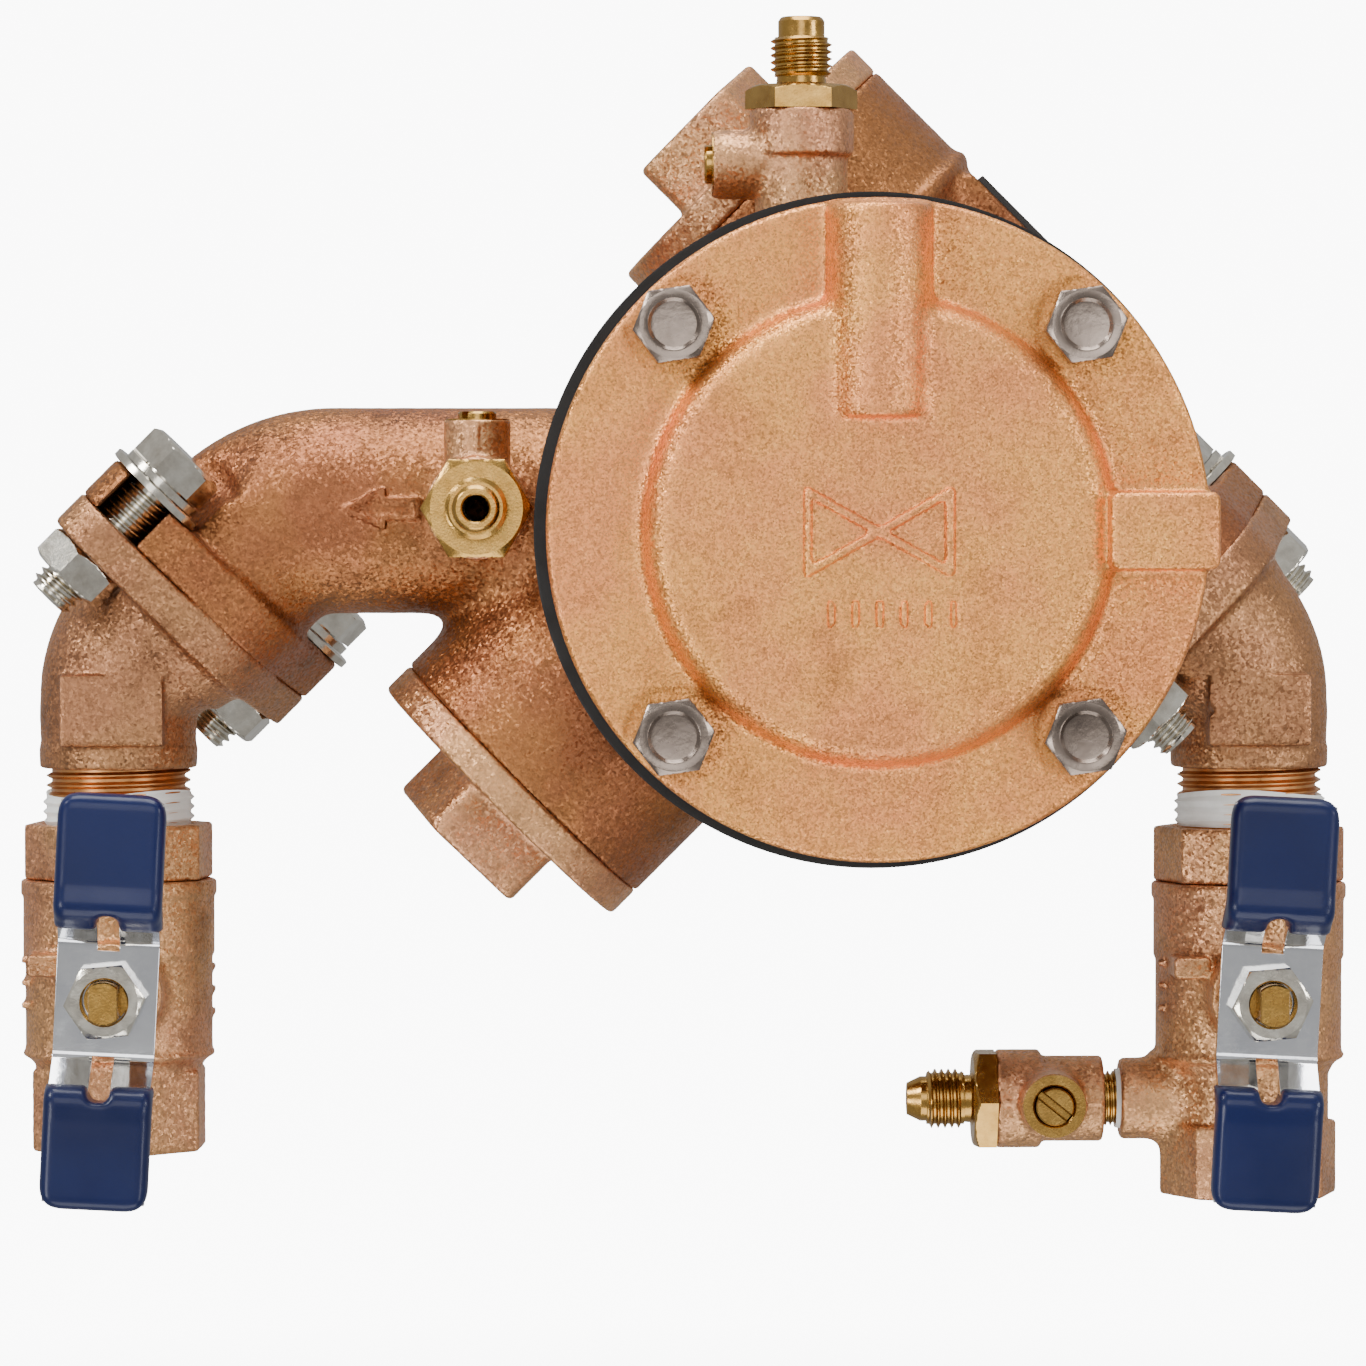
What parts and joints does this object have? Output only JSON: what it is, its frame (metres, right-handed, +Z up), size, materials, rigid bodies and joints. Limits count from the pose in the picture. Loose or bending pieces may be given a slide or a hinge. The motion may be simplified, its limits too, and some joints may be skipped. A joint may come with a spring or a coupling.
{
  "type": "backflow preventer",
  "caption": "Three-quarter-inch bronze reduced-pressure backflow preventer with two sprung checks, a relief valve, lever ball valves and test cocks.",
  "frame": {"origin": "centre of the inlet port, on the bottom face of the inlet ball valve", "axes": "+X from the outlet leg towards the inlet leg, +Y away from the relief cover, +Z up along the legs"},
  "size_m": [0.2477, 0.1406, 0.2168],
  "materials": {
    "cast_bronze": "sand-cast bronze, grainy",
    "cover_bronze": "fresh sand-cast bronze, satin",
    "brass": "machined brass",
    "nickel": "bright nickel plate",
    "stainless": "stainless steel, satin",
    "chrome_plate": "chrome-plated pressed steel",
    "blue_vinyl": "dipped vinyl, satin blue",
    "black_rubber": "black rubber",
    "red_rubber": "silicone rubber",
    "ptfe": "white PTFE",
    "acetal": "black moulded acetal",
    "spring_steel": "stainless spring wire",
    "plate_black": "black lacquered label plate with a brass edge"
  },
  "bodies": {
    "body": {"main_body": "cast_bronze", "inlet_elbow": "cast_bronze", "outlet_elbow": "cast_bronze", "nameplate": "plate_black", "nameplate_pins": "stainless", "union_gaskets": "black_rubber", "union_flat_washers": "nickel", "union_lock_washers": "nickel", "union_bolts": "nickel", "union_nuts": "nickel", "thread_tape": "ptfe", "cap_seal_rings": "black_rubber", "relief_cover": "cover_bronze", "relief_diaphragm": "black_rubber", "relief_cover_bolts": "stainless", "relief_seat": "brass", "relief_spring": "spring_steel", "test_cock_fittings": "brass", "test_cock_seats": "ptfe", "ball_seats": "ptfe", "stem_packings": "ptfe", "packing_nuts": "brass", "check_1_seat": "brass", "check_1_spring": "spring_steel", "check_1_cap": "cast_bronze", "check_2_seat": "brass", "check_2_spring": "spring_steel", "check_2_cap": "cast_bronze", "test_cock_1_body": "cast_bronze", "test_cock_2_body": "cast_bronze", "test_cock_3_body": "cast_bronze", "test_cock_4_body": "cast_bronze", "inlet_valve_body": "cast_bronze", "inlet_valve_retainer": "cast_bronze", "outlet_valve_body": "cast_bronze", "outlet_valve_retainer": "cast_bronze"},
    "inlet_handle": {"inlet_valve_handle": "chrome_plate", "inlet_valve_grips": "blue_vinyl", "inlet_valve_handle_nut": "nickel", "inlet_valve_stem": "brass", "inlet_valve_ball": "chrome_plate"},
    "outlet_handle": {"outlet_valve_handle": "chrome_plate", "outlet_valve_grips": "blue_vinyl", "outlet_valve_handle_nut": "nickel", "outlet_valve_stem": "brass", "outlet_valve_ball": "chrome_plate"},
    "check_1_moving": {"check_1_poppet": "acetal", "check_1_disc": "red_rubber"},
    "check_2_moving": {"check_2_poppet": "acetal", "check_2_disc": "red_rubber"},
    "relief_moving": {"relief_stem": "stainless", "relief_stem_nut": "stainless", "relief_front_plate": "stainless", "relief_back_plate": "stainless", "relief_disc": "red_rubber", "relief_disc_holder": "brass"},
    "cock_1_plug": {"test_cock_1_plug": "brass"},
    "cock_2_plug": {"test_cock_2_plug": "brass"},
    "cock_3_plug": {"test_cock_3_plug": "brass"},
    "cock_4_plug": {"test_cock_4_plug": "brass"}
  },
  "joints": [
    {"name": "inlet_handle_turn", "type": "hinge", "parent": "body", "child": "inlet_handle", "pos_m": [0, 0, 0.0386], "axis": [0, 1, 0], "range_deg": [-3, 87]},
    {"name": "outlet_handle_turn", "type": "hinge", "parent": "body", "child": "outlet_handle", "pos_m": [-0.2113, 0, 0.0394], "axis": [0, 1, 0], "range_deg": [-3, 87]},
    {"name": "check_1_lift", "type": "slide", "parent": "body", "child": "check_1_moving", "axis": [-0.7071, 0, 0.7071], "range_m": [0, 0.008], "stiffness_N_per_m": 400, "springref_m": -0.012, "deforming": ["check_1_spring"]},
    {"name": "check_2_lift", "type": "slide", "parent": "body", "child": "check_2_moving", "axis": [-0.7071, 0, -0.7071], "range_m": [0, 0.008], "stiffness_N_per_m": 400, "springref_m": -0.012, "deforming": ["check_2_spring"]},
    {"name": "relief_open", "type": "slide", "parent": "body", "child": "relief_moving", "axis": [0, -1, 0], "range_m": [0, 0.0045], "stiffness_N_per_m": 500, "springref_m": -0.006, "deforming": ["relief_spring", "relief_diaphragm"]},
    {"name": "cock_1_turn", "type": "hinge", "parent": "body", "child": "cock_1_plug", "pos_m": [-0.0376, 0, 0.0179], "axis": [0, -1, 0], "range_deg": [-90, 0]},
    {"name": "cock_2_turn", "type": "hinge", "parent": "body", "child": "cock_2_plug", "pos_m": [-0.0264, 0.0353, 0.1239], "axis": [0.7071, 0, 0.7071], "range_deg": [-90, 0]},
    {"name": "cock_3_turn", "type": "hinge", "parent": "body", "child": "cock_3_plug", "pos_m": [-0.0856, -0.0405, 0.1903], "axis": [-1, 0, 0], "range_deg": [-90, 0]},
    {"name": "cock_4_turn", "type": "hinge", "parent": "body", "child": "cock_4_plug", "pos_m": [-0.144, -0.0353, 0.1285], "axis": [0, 0, 1], "range_deg": [-90, 0]}
  ]
}
